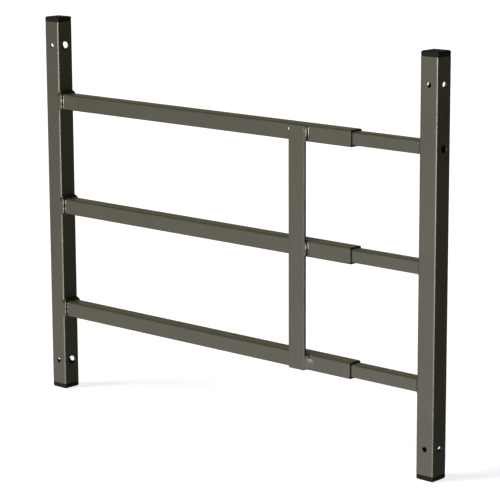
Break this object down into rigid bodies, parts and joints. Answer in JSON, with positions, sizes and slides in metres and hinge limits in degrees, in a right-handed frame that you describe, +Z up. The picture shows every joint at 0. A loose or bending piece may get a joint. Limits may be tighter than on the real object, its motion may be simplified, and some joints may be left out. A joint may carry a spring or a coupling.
{
  "type": "window security bar",
  "caption": "Telescoping window security bar: two square posts joined by parallel square tubes that slide inside each other, with a flat brace, end caps and screw holes.",
  "frame": {"origin": "middle of the guard's base, level with the bottom end caps, with the frames slid to the resting width", "axes": "+X across the window towards the narrow-tube frame, -Y towards the side with the brace, which meets the window frame when the guard is fixed to its face, +Z up"},
  "size_m": [0.513, 0.0213, 0.395],
  "materials": {
    "powder_coat": "semi-gloss bronze-grey powder coat on mild steel tube",
    "weld_coat": "glossier powder coat pulled over the weld beads",
    "cap_plastic": "satin black moulded plastic"
  },
  "bodies": {
    "left_frame": {"left_post": "powder_coat", "left_bottom_cap": "cap_plastic", "left_top_cap": "cap_plastic", "outer_tube_bottom": "powder_coat", "outer_tube_middle": "powder_coat", "outer_tube_top": "powder_coat", "outer_weld_bottom": "weld_coat", "outer_weld_middle": "weld_coat", "outer_weld_top": "weld_coat", "brace_bar": "powder_coat", "brace_weld_bottom_left": "weld_coat", "brace_weld_bottom_right": "weld_coat", "brace_weld_middle_left": "weld_coat", "brace_weld_middle_right": "weld_coat", "brace_weld_top_left": "weld_coat", "brace_weld_top_right": "weld_coat"},
    "right_frame": {"right_post": "powder_coat", "right_bottom_cap": "cap_plastic", "right_top_cap": "cap_plastic", "inner_tube_bottom": "powder_coat", "inner_tube_middle": "powder_coat", "inner_tube_top": "powder_coat", "inner_weld_bottom": "weld_coat", "inner_weld_middle": "weld_coat", "inner_weld_top": "weld_coat"}
  },
  "joints": [
    {"name": "width_slide", "type": "slide", "parent": "left_frame", "child": "right_frame", "axis": [1, 0, 0], "range_m": [-0.073, 0.249]}
  ]
}
